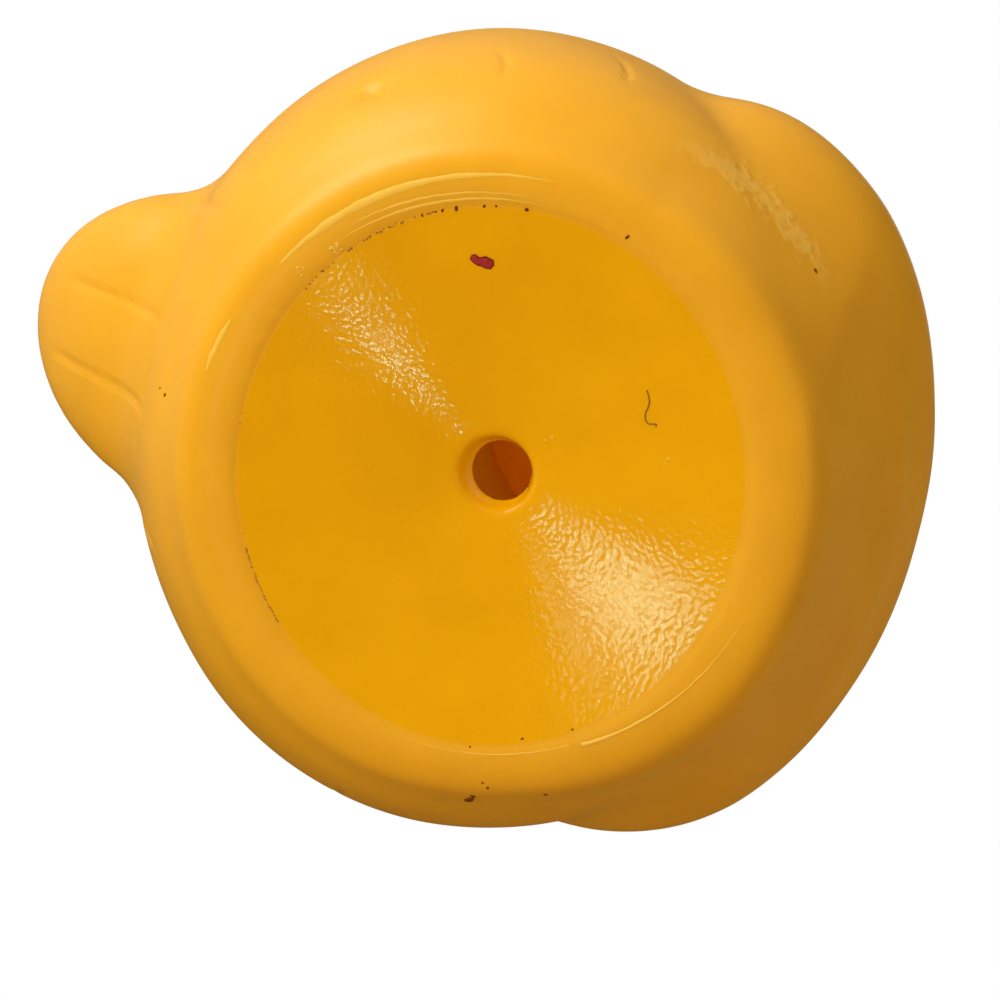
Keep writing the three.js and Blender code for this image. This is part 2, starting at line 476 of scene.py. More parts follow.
def eye_border(ring, x, y, z):
    """Runs through 0 along the foot of the eye, or that far from it."""
    return eye_form(x, y, z) - shell_core(x, y, z) - EYE_BRINK - ring


def by_eye(x, y, z):
    return (np.abs(eye_form(x, y, z)) < EYE_NEAR) & (shell_core(x, y, z) > -WALL / 2)


for ring in PARTING_RINGS:
    score(half, partial(parting, ring), by_parting, FACE_SNAP)
score(half, bill_border, by_bill, FACE_SNAP)
for ring in EYE_RINGS:
    score(half, partial(eye_border, ring), by_eye, FACE_SNAP)
for edge in half.edges:
    edge.smooth = not all(v in dish_line for v in edge.verts)
MERGE = 1e-4
whole_half = half.verts[:] + half.edges[:] + half.faces[:]
bmesh.ops.mirror(half, geom=whole_half, axis="X", merge_dist=MERGE)
bmesh.ops.remove_doubles(half, verts=half.verts[:], dist=MERGE)
bmesh.ops.recalc_face_normals(half, faces=half.faces[:])

VINYL_SLOT, BILL_SLOT, EYE_SLOT = 0, 1, 2
half.faces.ensure_lookup_table()
centres = np.array([f.calc_center_median() for f in half.faces]).T
centres[0] = np.abs(centres[0])
on_bill = (bill_border(*centres) < 0) & by_bill(*centres)
on_eye = (eye_border(0, *centres) < 0) & by_eye(*centres)
coats = np.where(on_bill, BILL_SLOT, np.where(on_eye, EYE_SLOT, VINYL_SLOT))
for face, coat in zip(half.faces, coats.tolist()):
    face.smooth = True
    face.material_index = coat

SWELL = {"height": 0.14, "length": 9, "levels": (1.0, 5.0)}
DENT_AT = Vector((-22.8, 15.5, 7.9))
DENT = {"reach": 1.05, "depth": 0.6}
half.normal_update()
for vert in half.verts:
    most = SWELL["height"] * float(ease(vert.co.z, *SWELL["levels"]))
    swell = most * noise.noise(vert.co / SWELL["length"])
    swell -= DENT["depth"] * math.exp(-((vert.co - DENT_AT).length / DENT["reach"]) ** 2)
    place = vert.co + vert.normal * swell
    vert.co = Vector((place.x, place.y + AXIS_Y, place.z)) * MM
duck_mesh = bpy.data.meshes.new("duck")
half.to_mesh(duck_mesh)
half.free()
duck = bpy.data.objects.new("duck", duck_mesh)
bpy.context.scene.collection.objects.link(duck)
bpy.context.view_layer.update()


def linear(hex_colour):
    """A colour written as sRGB hex, in linear light."""
    parts = [int(hex_colour[n : n + 2], 16) / 255 for n in (1, 3, 5)]
    return tuple(p / 12.92 if p <= 0.04045 else ((p + 0.055) / 1.055) ** 2.4 for p in parts) + (1,)


def add(tree, kind, inputs=None, **settings):
    """Adds a node with its settings, and its inputs as numbers or links."""
    node = tree.nodes.new(kind)
    for name, value in settings.items():
        setattr(node, name, value)
    for socket, value in (inputs or {}).items():
        if isinstance(value, bpy.types.NodeSocket):
            tree.links.new(value, node.inputs[socket])
        else:
            node.inputs[socket].default_value = value
    return node


def blank(name, origin=(0, 0, 0)):
    """A new material with an empty tree, and the socket that gives places in millimetres."""
    material = bpy.data.materials.new(name)
    material.use_nodes = True
    tree = material.node_tree
    tree.nodes.clear()
    coords = add(tree, "ShaderNodeTexCoord")
    in_mm = add(tree, "ShaderNodeMapping", {
        "Vector": coords.outputs["Object"], "Scale": (1 / MM,) * 3, "Location": origin})
    return material, tree, in_mm.outputs[0]


# Soft PVC from a blasted mould: warm yellow all through, a little see-through at thin edges, with a
# pebbled grain in the dish that breaks highlights into sparks, a smoother and duller flank, and a pale
# band low on the breast, partly whitened where it was rubbed and partly a painted highlight.
VINYL_TONES = ("#EBA704", "#DB9702")
TONE_MM = 6
DISH_GRAIN = {"mm": 0.35, "height": 0.0095}
FLANK_GRAIN = {"mm": 0.4, "height": 0.007}
ROUGHNESS = {"dish": 0.08, "flank": 0.34}
DISH_FADE = {"share": (0.985, 1.0), "height": (3.6, 4.2)}
# The pale band: rubbed vinyl, its pale tone partly a painted highlight on the raised burrs.
RUBBED_AND_HIGHLIGHT = {"radius": 25.5, "half": 0.7, "waver": 1.5, "turn": 211, "spread": (17, 8), "top": 14,
          "mm": 0.9, "height": 0.05, "tone": "#F0C458", "fade": 0.35}


def dish_part(tree, in_mm):
    """1 on the dish and 0 on the rest of the skin."""
    place = add(tree, "ShaderNodeSeparateXYZ", {0: in_mm})
    plan = add(tree, "ShaderNodeVectorMath", {0: in_mm, 1: (1 / DISH_WIDE, 1 / DISH_LONG, 0)},
               operation="MULTIPLY")
    share = add(tree, "ShaderNodeVectorMath", {0: plan.outputs[0]}, operation="LENGTH")
    fades = ((share.outputs["Value"], DISH_FADE["share"]), (place.outputs["Z"], DISH_FADE["height"]))
    within, low = [add(tree, "ShaderNodeMapRange", {
        "Value": value, "From Min": start, "From Max": end, "To Min": 1, "To Max": 0})
        for value, (start, end) in fades]
    dish = add(tree, "ShaderNodeMath", {0: within.outputs[0], 1: low.outputs[0]}, operation="MULTIPLY")
    return dish.outputs[0]


def rubbed_highlight_part(tree, in_mm):
    """1 along the middle of the pale band, rubbed and partly a painted highlight, less towards its ragged
    sides and its ends.
    """
    turn = math.radians(RUBBED_AND_HIGHLIGHT["turn"])
    middle = RUBBED_AND_HIGHLIGHT["radius"] + RUBBED_AND_HIGHLIGHT["waver"] / 2
    ends = [math.cos(math.radians(spread)) for spread in RUBBED_AND_HIGHLIGHT["spread"]]
    place = add(tree, "ShaderNodeSeparateXYZ", {0: in_mm})
    plan = add(tree, "ShaderNodeVectorMath", {0: in_mm, 1: (1, 1, 0)}, operation="MULTIPLY")
    radius = add(tree, "ShaderNodeVectorMath", {0: plan.outputs[0]}, operation="LENGTH")
    torn = add(tree, "ShaderNodeTexNoise", {"Vector": in_mm, "Scale": 1 / RUBBED_AND_HIGHLIGHT["mm"], "Detail": 1.0})
    sway = add(tree, "ShaderNodeMath", {0: torn.outputs[0], 1: RUBBED_AND_HIGHLIGHT["waver"], 2: radius.outputs["Value"]},
               operation="MULTIPLY_ADD")
    off = add(tree, "ShaderNodeMath", {0: sway.outputs[0], 1: middle}, operation="SUBTRACT")
    aside = add(tree, "ShaderNodeMath", {0: off.outputs[0]}, operation="ABSOLUTE")
    band = add(tree, "ShaderNodeMapRange", {
        "Value": aside.outputs[0], "From Min": 0.0, "From Max": RUBBED_AND_HIGHLIGHT["half"], "To Min": 1, "To Max": 0},
        interpolation_type="SMOOTHSTEP")
    ahead = add(tree, "ShaderNodeVectorMath", {0: plan.outputs[0], 1: (math.cos(turn), math.sin(turn), 0)},
                operation="DOT_PRODUCT")
    turned = add(tree, "ShaderNodeMath", {0: ahead.outputs["Value"], 1: radius.outputs["Value"]},
                 operation="DIVIDE")
    stretch = add(tree, "ShaderNodeMapRange", {
        "Value": turned.outputs[0], "From Min": ends[0], "From Max": ends[1]})
    under = add(tree, "ShaderNodeMath", {0: place.outputs["Z"], 1: RUBBED_AND_HIGHLIGHT["top"]}, operation="LESS_THAN")
    along = add(tree, "ShaderNodeMath", {0: band.outputs[0], 1: stretch.outputs[0]}, operation="MULTIPLY")
    rubbed_and_highlight = add(tree, "ShaderNodeMath", {0: along.outputs[0], 1: under.outputs[0]}, operation="MULTIPLY")
    return rubbed_and_highlight.outputs[0]


def soft_vinyl():
    material, tree, in_mm = blank("soft_vinyl_moulded", origin=(0, -AXIS_Y, 0))
    dish = dish_part(tree, in_mm)
    rubbed_and_highlight = rubbed_highlight_part(tree, in_mm)
    tone = add(tree, "ShaderNodeTexNoise", {"Vector": in_mm, "Scale": 1 / TONE_MM, "Detail": 4.0})
    yellow = add(tree, "ShaderNodeMix", {
        "Factor": tone.outputs[0], 6: linear(VINYL_TONES[0]), 7: linear(VINYL_TONES[1])}, data_type="RGBA")
    # Paler towards the band's tone, partly for rubbing and partly as a painted highlight.
    fade = add(tree, "ShaderNodeMath", {0: rubbed_and_highlight, 1: RUBBED_AND_HIGHLIGHT["fade"]}, operation="MULTIPLY")
    colour = add(tree, "ShaderNodeMix", {
        "Factor": fade.outputs[0], 6: yellow.outputs[2], 7: linear(RUBBED_AND_HIGHLIGHT["tone"])}, data_type="RGBA")
    pebbles = add(tree, "ShaderNodeTexNoise", {
        "Vector": in_mm, "Scale": 1 / DISH_GRAIN["mm"], "Detail": 0.0, "Distortion": 0.3})
    dish_relief = add(tree, "ShaderNodeMath", {0: pebbles.outputs[0], 1: DISH_GRAIN["height"]},
                      operation="MULTIPLY")
    fine = add(tree, "ShaderNodeTexNoise", {"Vector": in_mm, "Scale": 1 / FLANK_GRAIN["mm"], "Detail": 1.0})
    flank_relief = add(tree, "ShaderNodeMath", {0: fine.outputs[0], 1: FLANK_GRAIN["height"]},
                       operation="MULTIPLY")
    grain = add(tree, "ShaderNodeMix", {
        "Factor": dish, "A": flank_relief.outputs[0], "B": dish_relief.outputs[0]})
    relief = add(tree, "ShaderNodeMath", {0: rubbed_and_highlight, 1: RUBBED_AND_HIGHLIGHT["height"], 2: grain.outputs[0]},
                 operation="MULTIPLY_ADD")
    bump = add(tree, "ShaderNodeBump", {"Height": relief.outputs[0], "Distance": MM})
    gloss = add(tree, "ShaderNodeMapRange", {
        "Value": dish, "To Min": ROUGHNESS["flank"], "To Max": ROUGHNESS["dish"]})
    shader = add(tree, "ShaderNodeBsdfPrincipled", {
        "Base Color": colour.outputs[2], "Roughness": gloss.outputs[0], "IOR": 1.52,
        "Specular IOR Level": 0.4, "Subsurface Weight": 0.25, "Subsurface Radius": (1.0, 0.5, 0.05),
        "Subsurface Scale": WALL * MM, "Normal": bump.outputs[0]})
    add(tree, "ShaderNodeOutputMaterial", {"Surface": shader.outputs[0]})
    return material


PEEL_MM = 0.5


def mottled(name, tones, rough, patch_mm, dimple=0, shine=0.5):
    """A material with slow changes between two tones, and a fine orange peel as deep as its dimples."""
    material, tree, in_mm = blank(name)
    patch = add(tree, "ShaderNodeTexNoise", {"Vector": in_mm, "Scale": 1 / patch_mm, "Detail": 3.0})
    colour = add(tree, "ShaderNodeMix", {
        "Factor": patch.outputs[0], 6: linear(tones[0]), 7: linear(tones[1])}, data_type="RGBA")
    peel = add(tree, "ShaderNodeTexNoise", {"Vector": in_mm, "Scale": 1 / PEEL_MM, "Detail": 1.0})
    bump = add(tree, "ShaderNodeBump", {"Height": peel.outputs[0], "Distance": dimple * MM})
    shader = add(tree, "ShaderNodeBsdfPrincipled", {
        "Base Color": colour.outputs[2], "Roughness": rough, "Specular IOR Level": shine,
        "Normal": bump.outputs[0]})
    add(tree, "ShaderNodeOutputMaterial", {"Surface": shader.outputs[0]})
    return material


# Red and black spray enamel: even colour with a soft gloss, a little thinner in patches.
bill_enamel = mottled("red_bill_enamel", ("#C93C12", "#A92A0C"), rough=0.3, patch_mm=4.0, dimple=0.012)
eye_enamel = mottled("black_eye_enamel", ("#171412", "#0D0B0A"), rough=0.18, patch_mm=1.5, dimple=0.004)
for material in (soft_vinyl(), bill_enamel, eye_enamel):
    duck_mesh.materials.append(material)

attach(duck, "root")
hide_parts("duck_body")

# Moulding lip, with painted highlights
# Thin lips of vinyl that the joints of the mould left along the foot ring, in a few stretches.
# They are one with the skin, stand a few hundredths of a millimetre proud and catch the light. Their
# pale colour is a painted highlight along the ring, and the widest stretch, on its crest, is mostly a
# painted highlight band.


def under_skin(angles, radii):
    """Places on the underside and the way out there, by angle round the vent and distance from it."""
    spots = []
    for angle, radius in zip(np.radians(angles), radii):
        start = Vector((radius * math.cos(angle), radius * math.sin(angle) + AXIS_Y, -WALL)) * MM
        spot = duck.ray_cast(start, Vector((0, 0, 1)))[1]
        spots.append(spot / MM - Vector((0, AXIS_Y, 0)))
    spots = np.array(spots)
    side = np.where(spots[:, :1] < 0, (-1, 1, 1), (1, 1, 1))
    out = slopes(spots * side) * side
    return spots, out / np.linalg.norm(out, axis=1)[:, None]


def in_frame(spots):
    return (spots + (0, AXIS_Y, 0)) * MM


def node_tree(name, sizes):
    """A node tree for a piece, with its geometry, a material and its named sizes as inputs."""
    tree = bpy.data.node_groups.new(name, "GeometryNodeTree")
    tree.interface.new_socket("Geometry", in_out="OUTPUT", socket_type="NodeSocketGeometry")
    tree.interface.new_socket("Geometry", in_out="INPUT", socket_type="NodeSocketGeometry")
    tree.interface.new_socket("Material", in_out="INPUT", socket_type="NodeSocketMaterial")
    for size, kind in sizes.items():
        tree.interface.new_socket(size, in_out="INPUT", socket_type=kind)
    return tree, add(tree, "NodeGroupInput")


def made_by_nodes(name, tree, inputs, spots, edges, **values):
    """A piece that the tree makes from points or lines with values of their own, as a plain mesh."""
    mesh = bpy.data.meshes.new(name)
    mesh.from_pydata(in_frame(np.asarray(spots)).tolist(), edges, [])
    for key, value in values.items():
        value = np.asarray(value, float)
        kind, field = ("FLOAT_VECTOR", "vector") if value.ndim == 2 else ("FLOAT", "value")
        mesh.attributes.new(key, kind, "POINT").data.foreach_set(field, value.ravel())
    piece = bpy.data.objects.new(name, mesh)
    bpy.context.scene.collection.objects.link(piece)
    modifier = piece.modifiers.new(name, "NODES")
    modifier.node_group = tree
    for socket in tree.interface.items_tree:
        if socket.in_out == "INPUT" and socket.name in inputs:
            modifier[socket.identifier] = inputs[socket.name]
    made = bpy.data.meshes.new_from_object(piece.evaluated_get(bpy.context.evaluated_depsgraph_get()))
    piece.modifiers.remove(modifier)
    piece.data = made
    made.name = name
    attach(piece, "root")
    return piece


STRAND_SIDES = 32


def strand_tree():
    """A round strand along each line, as thick at each point as the line's own value there."""
    tree, enter = node_tree("strand_along_line", {"Thickness": "NodeSocketFloat"})
    thin = add(tree, "GeometryNodeInputNamedAttribute", {"Name": "thin"}, data_type="FLOAT")
    line = add(tree, "GeometryNodeMeshToCurve", {"Mesh": enter.outputs["Geometry"]})
    section = add(tree, "GeometryNodeCurvePrimitiveCircle", {
        "Resolution": STRAND_SIDES, "Radius": enter.outputs["Thickness"]})
    tube = add(tree, "GeometryNodeCurveToMesh", {
        "Curve": line.outputs[0], "Profile Curve": section.outputs[0], "Scale": thin.outputs[0],
        "Fill Caps": True})
    real = add(tree, "GeometryNodeRealizeInstances", {"Geometry": tube.outputs[0]})
    finished = add(tree, "GeometryNodeSetMaterial", {
        "Geometry": real.outputs[0], "Material": enter.outputs["Material"]})
    add(tree, "NodeGroupOutput", {"Geometry": finished.outputs[0]})
    return tree


strand = strand_tree()

# Scuffed PVC: the same yellow, dry and whitened where it was stretched, for the chips. On the moulding
# lips the same paleness is a painted highlight.
scuff_and_highlight = mottled("scuffed_vinyl_and_highlight", ("#E8AC1A", "#EDBA44"), rough=0.6, patch_mm=0.83)

# Stretches of lip, drawn pale: partly real lips, partly painted highlight lines along the foot ring.
LIPS_PAINTED_BRIGHT = (
    {"from": 283, "to": 327, "radius": (19.75, 19.2), "thin": (0.3, 1.0, 2.0, 3.2), "sunk": 0.6},
    {"from": 329, "to": 366, "radius": (18.95, 19.05), "thin": (0.8, 1.0, 0.6, 0.2), "sunk": 0.6},
    {"from": 134, "to": 183, "radius": (19.0, 19.0), "thin": (0.5, 4.0, 3.0, 0.5), "sunk": 0.9},
    {"from": 138, "to": 176, "radius": (19.5, 19.4), "thin": (0.5, 4.0, 3.0, 0.5), "sunk": 0.92},
    {"from": 122, "to": 180, "radius": (20.3, 20.7), "thin": (3, 14, 11, 7, 1), "sunk": 0.93},
    {"from": 96, "to": 108, "radius": (21.0, 20.8), "thin": (3, 10, 9, 3), "sunk": 0.92},
)
LIP_STEP = 0.5
LIP_THICK = 0.06
LIP_WAVER = {"most": 0.05, "per_degree": 0.4, "row": 0}
LIP_UNEVEN = {"most": 0.35, "per_degree": 0.2, "row": 3}


def uneven(change, angles, row):
    """A slow change along a lip, up and down by no more than its most."""
    places = [Vector((change["per_degree"] * angle, row + change["row"], 0)) for angle in angles]
    return np.array([change["most"] * noise.noise(place) for place in places])


def spread_out(values, count):
    """A few values, spread evenly over that many points."""
    return np.interp(np.linspace(0, 1, count), np.linspace(0, 1, len(values)), values)


spots, edges, widths = [], [], []
for row, lip in enumerate(LIPS_PAINTED_BRIGHT):
    angles = np.arange(lip["from"], lip["to"], LIP_STEP)
    radii = spread_out(lip["radius"], len(angles)) + uneven(LIP_WAVER, angles, row)
    width = spread_out(lip["thin"], len(angles)) * (1 + uneven(LIP_UNEVEN, angles, row))
    found, out = under_skin(angles, radii)
    edges += [(len(spots) + n, len(spots) + n + 1) for n in range(len(angles) - 1)]
    spots += list(found - out * (lip["sunk"] * LIP_THICK * width)[:, None])
    widths += list(width)
# Drawn in the pale vinyl, so the lips show as painted highlight lines.
moulding_lip_and_highlight = made_by_nodes("moulding_lip_and_highlight", strand, {"Thickness": LIP_THICK * MM, "Material": scuff_and_highlight},
                             spots, edges, thin=widths)

# Grit
# Dried dirt and sand grains from use, stuck in the dish's crease and here and there on the base.
# The grains are a tenth to a half of a millimetre across, and finer silt lies between them.

# Dried dirt: dull dark brown, each lump a little different.
dirt = mottled("dried_dirt", ("#5E2A08", "#84480F"), rough=0.9, patch_mm=0.67, shine=0.05)
# Silt: dirt washed thin into the crease, paler than the grains.
silt = mottled("washed_silt", ("#8E5A10", "#AE7416"), rough=0.9, patch_mm=0.5, dimple=0.01)

FLAKE_LONG = (0.8, 1.6)
FLAKE_WIDE = 0.8
FLAKE_FINENESS = 2


def flakes_tree():
    """A rough flake on each point, turned out of the skin and as large as the point's own value."""
    tree, enter = node_tree("flakes_on_skin", {
        "Flatness": "NodeSocketFloat", "Seed": "NodeSocketInt", "Roughness": "NodeSocketFloat",
        "Lump": "NodeSocketFloat"})
    seed = enter.outputs["Seed"]
    size = add(tree, "GeometryNodeInputNamedAttribute", {"Name": "size"}, data_type="FLOAT")
    out = add(tree, "GeometryNodeInputNamedAttribute", {"Name": "out"}, data_type="FLOAT_VECTOR")
    ball = add(tree, "GeometryNodeMeshIcoSphere", {"Radius": 1.0, "Subdivisions": FLAKE_FINENESS})
    stand = add(tree, "FunctionNodeAlignRotationToVector", {"Vector": out.outputs[0]}, axis="Z")
    spin = add(tree, "FunctionNodeRandomValue", {"Seed": seed, 2: 0.0, 3: math.tau}, data_type="FLOAT")
    about = add(tree, "FunctionNodeAxisAngleToRotation", {"Axis": (0, 0, 1), "Angle": spin.outputs[1]})
    turned = add(tree, "FunctionNodeRotateRotation", {0: stand.outputs[0], 1: about.outputs[0]},
                 rotation_space="LOCAL")
    long = add(tree, "FunctionNodeRandomValue", {"Seed": seed, 2: FLAKE_LONG[0], 3: FLAKE_LONG[1]},
               data_type="FLOAT")
    shape = add(tree, "ShaderNodeCombineXYZ", {
        "X": long.outputs[1], "Y": FLAKE_WIDE, "Z": enter.outputs["Flatness"]})
    scaled = add(tree, "ShaderNodeVectorMath", {0: shape.outputs[0], "Scale": size.outputs[0]},
                 operation="SCALE")
    laid = add(tree, "GeometryNodeInstanceOnPoints", {
        "Points": enter.outputs["Geometry"], "Instance": ball.outputs[0], "Rotation": turned.outputs[0],
        "Scale": scaled.outputs[0]})
    real = add(tree, "GeometryNodeRealizeInstances", {"Geometry": laid.outputs[0]})
    position = add(tree, "GeometryNodeInputPosition")
    per_metre = add(tree, "ShaderNodeMath", {0: 1.0, 1: enter.outputs["Lump"]}, operation="DIVIDE")
    ragged = add(tree, "ShaderNodeTexNoise", {"Vector": position.outputs[0], "Scale": per_metre.outputs[0]})
    centred = add(tree, "ShaderNodeVectorMath", {0: ragged.outputs["Color"], 1: (0.5, 0.5, 0.5)},
                  operation="SUBTRACT")
    reach = add(tree, "ShaderNodeMath", {0: size.outputs[0], 1: enter.outputs["Roughness"]},
                operation="MULTIPLY")
    pushed = add(tree, "ShaderNodeVectorMath", {0: centred.outputs[0], "Scale": reach.outputs[0]},
                 operation="SCALE")
    rough = add(tree, "GeometryNodeSetPosition", {"Geometry": real.outputs[0], "Offset": pushed.outputs[0]})
    soft = add(tree, "GeometryNodeSetShadeSmooth", {"Geometry": rough.outputs[0]})
    finished = add(tree, "GeometryNodeSetMaterial", {
        "Geometry": soft.outputs[0], "Material": enter.outputs["Material"]})
    add(tree, "NodeGroupOutput", {"Geometry": finished.outputs[0]})
    return tree


flakes = flakes_tree()
LUMP = 0.12
CREASE_GRAINS = ((153, 0.09), (156, 0.08), (157.5, 0.1), (160.5, 0.14), (166.5, 0.1), (169, 0.1),
                 (175.5, 0.15))
LOOSE_GRAINS = (
    (197, 19.2, 0.13), (351, 22.8, 0.3), (350.2, 22.4, 0.16), (351.8, 23.0, 0.18), (347.8, 21.1, 0.1),
    (347, 21.5, 0.11), (337, 22.3, 0.13), (327.5, 18.0, 0.09), (339, 18.0, 0.09), (350.5, 18.6, 0.09),
    (88, 24.4, 0.14), (88.5, 25.1, 0.09), (223.5, 25.2, 0.15))
CREASE_SILT = (
    {"from": 122, "to": 156, "count": 50, "size": (0.03, 0.08)},
    {"from": 41, "to": 60, "count": 90, "size": (0.03, 0.06)},
    {"from": 60, "to": 93, "count": 14, "size": (0.02, 0.04)},
)
SILT_SPREAD = 0.12
draw = np.random.RandomState(4)


def crease_radius(angle):
    """Distance of the dish's crease from the vent at that angle."""
    return 1 / dish_share(math.cos(math.radians(angle)), math.sin(math.radians(angle)))


def scattered(name, grains, inputs):
    """Flakes on the underside, each by its angle round the vent, its distance from it and its size."""
    angles, radii, sizes = np.array(grains).T
    spots, out = under_skin(angles, radii)
    return made_by_nodes(name, flakes, inputs, spots, [], size=sizes * MM, out=out)


grains = [(angle, crease_radius(angle) - 0.5 * size, size) for angle, size in CREASE_GRAINS]
grains += LOOSE_GRAINS
scattered("grit", grains, {"Flatness": 0.6, "Seed": 3, "Roughness": 1.1, "Lump": LUMP * MM,
                           "Material": dirt})

silt_grains = []
for stretch in CREASE_SILT:
    for angle in draw.uniform(stretch["from"], stretch["to"], stretch["count"]):
        radius = crease_radius(angle) - draw.uniform(0, SILT_SPREAD)
        silt_grains.append((angle, radius, draw.uniform(*stretch["size"])))
scattered("crease_silt", silt_grains, {"Flatness": 0.6, "Seed": 5, "Roughness": 1.1, "Lump": LUMP * MM,
                                       "Material": silt})

# Chips
# Crumbs of torn vinyl, dry and pale, that stand up in two places at the crease of the dish.
# A few single ones have come off and stick to the dish.

TORN_PLACES = (
    {"from": 131.5, "to": 134, "radius": 18.6, "spread": 0.35, "count": 16, "size": (0.05, 0.13)},
    {"from": 123.5, "to": 126, "radius": 19.0, "spread": 0.3, "count": 10, "size": (0.05, 0.11)},
)
CRUMBS = ((249, 12.4, 0.12), (250.5, 12.1, 0.08), (222, 4.3, 0.1), (223.5, 4.85, 0.13), (270, 9.15, 0.08))
torn_chips = []
for place in TORN_PLACES:
    angles = draw.uniform(place["from"], place["to"], place["count"])
    radii = place["radius"] + draw.uniform(-place["spread"], place["spread"], place["count"])
    sizes = draw.uniform(*place["size"], place["count"])
    torn_chips += zip(angles, radii, sizes)
torn_chips += CRUMBS
chips = scattered("chips", torn_chips, {"Flatness": 0.4, "Seed": 8, "Roughness": 0.6, "Lump": LUMP * MM,
                                        "Material": scuff_and_highlight})

# Paint fleck
# A flake of red enamel, about a millimetre and a half across and under a tenth thick.
# It fell on the dish and stuck there.

FLECK_AT = (165.2, 14.75)
FLECK_THICK = 0.07
FLECK_SUNK = 0.3
FLECK_RIM = 0.09
FLECK_OUTLINE = ((-0.83, 0.18), (-0.68, 0.47), (-0.43, 0.52), (-0.16, 0.29), (0.29, 0.36), (0.52, 0.23),
                 (0.81, 0.07), (0.81, -0.27), (0.56, -0.54), (0.18, -0.5), (-0.05, -0.34), (-0.34, -0.29),
                 (-0.61, -0.09))
TURN = math.radians(15.1)
picture_right = Vector((-math.sin(TURN), -math.cos(TURN), 0))
picture_up = Vector((-math.cos(TURN), math.sin(TURN), 0))
spots, out = under_skin([FLECK_AT[0]], [FLECK_AT[1]])
centre, away = Vector(spots[0]), Vector(out[0])
along = (picture_right - picture_right.dot(away) * away).normalized()
upward = away.cross(along)
upward *= math.copysign(1, upward.dot(picture_up))
fleck_form = bmesh.new()
fleck_form.faces.new([fleck_form.verts.new(centre + along * x + upward * y) for x, y in FLECK_OUTLINE])
lifted = bmesh.ops.extrude_face_region(fleck_form, geom=fleck_form.faces[:])["geom"]
for vert in (v for v in lifted if isinstance(v, bmesh.types.BMVert)):
    vert.co += away * FLECK_THICK
top = [f for f in lifted if isinstance(f, bmesh.types.BMFace)]
bmesh.ops.inset_region(fleck_form, faces=top, thickness=FLECK_RIM)
for face in top:
    face.material_index = 1
bmesh.ops.translate(fleck_form, verts=fleck_form.verts[:], vec=-FLECK_SUNK * FLECK_THICK * away)
bmesh.ops.recalc_face_normals(fleck_form, faces=fleck_form.faces[:])
for vert in fleck_form.verts:
    vert.co = Vector((vert.co.x, vert.co.y + AXIS_Y, vert.co.z)) * MM
fleck_mesh = bpy.data.meshes.new("paint_fleck")
fleck_form.to_mesh(fleck_mesh)
fleck_form.free()
# Red enamel that came off in a flake: darker at its rim and sides, brighter and pinker in the middle of its
# face.
fleck_edge = mottled("red_enamel_edge", ("#5A0603", "#8A100A"), rough=0.22, patch_mm=0.35, dimple=0.02)
fleck_face = mottled("red_enamel_bright_middle", ("#7E0A06", "#B8342C"), rough=0.3, patch_mm=0.35, dimple=0.02)
for material in (fleck_edge, fleck_face):
    fleck_mesh.materials.append(material)
paint_fleck = bpy.data.objects.new("paint_fleck", fleck_mesh)
bpy.context.scene.collection.objects.link(paint_fleck)
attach(paint_fleck, "root")

# Fibre
# A short brown hair of lint, less than a tenth of a millimetre thick.
# It lies curled on the dish and sticks to it.

FIBRE = ((-8.6, -9.1), (-7.8, -9.45), (-6.9, -9.35), (-6.4, -9.65), (-6.5, -10.2), (-6.3, -10.25))
FIBRE_STEPS = 8
FIBRE_THICK = 0.035
route = []
for n in range(len(FIBRE) - 1):
    before, start, end, after = (Vector(FIBRE[min(max(n + k, 0), len(FIBRE) - 1)]) for k in (-1, 0, 1, 2))
    for step in range(FIBRE_STEPS):
        t = step / FIBRE_STEPS
        bend = 2 * before - 5 * start + 4 * end - after
        twist = 3 * start - before - 3 * end + after
        route.append(start + 0.5 * t * (end - before + bend * t + twist * t * t))
angles = [math.degrees(math.atan2(point.y, point.x)) for point in route]
spots, out = under_skin(angles, [point.length for point in route])
# Lint: matt brown fibre, darker where it is twisted.
lint = mottled("brown_lint", ("#6E430C", "#8C5C18"), rough=0.8, patch_mm=0.4, dimple=0.01)
made_by_nodes("fibre", strand, {"Thickness": FIBRE_THICK * MM, "Material": lint}, spots + out * FIBRE_THICK,
              [(n, n + 1) for n in range(len(spots) - 1)], thin=np.ones(len(spots)))

# Floor
# A plain pale sheet that the duck stands on. It is open to the light and the camera under it.

FLOOR_HALF = 1.5
FLOOR_TONE = "#FBFAF8"
corners = [(x * FLOOR_HALF, y * FLOOR_HALF, 0) for x, y in ((-1, -1), (1, -1), (1, 1), (-1, 1))]
floor_mesh = bpy.data.meshes.new("floor")
floor_mesh.from_pydata(corners, [], [(0, 1, 2, 3)])
floor = bpy.data.objects.new("floor", floor_mesh)
bpy.context.scene.collection.objects.link(floor)
# Matt card from above and nothing from below, so that the base can be seen through it.
sheet = bpy.data.materials.new("pale_floor")
sheet.use_nodes = True
tree = sheet.node_tree
tree.nodes.clear()
side = add(tree, "ShaderNodeNewGeometry")
matt = add(tree, "ShaderNodeBsdfDiffuse", {"Color": linear(FLOOR_TONE)})
open_side = add(tree, "ShaderNodeBsdfTransparent")
card = add(tree, "ShaderNodeMixShader", {
    0: side.outputs["Backfacing"], 1: matt.outputs[0], 2: open_side.outputs[0]})
add(tree, "ShaderNodeOutputMaterial", {"Surface": card.outputs[0]})
floor_mesh.materials.append(sheet)
for rays in ("diffuse", "glossy", "transmission", "shadow"):
    setattr(floor, "visible_" + rays, False)

# Light
# Soft studio lamps under the duck, as in the photograph, and a soft sun over it for the other sides.
# Long narrow lamps make the fan and the streak of light on the dish, and small ones inside the hollow
# stand for the light that comes through the thin wall.

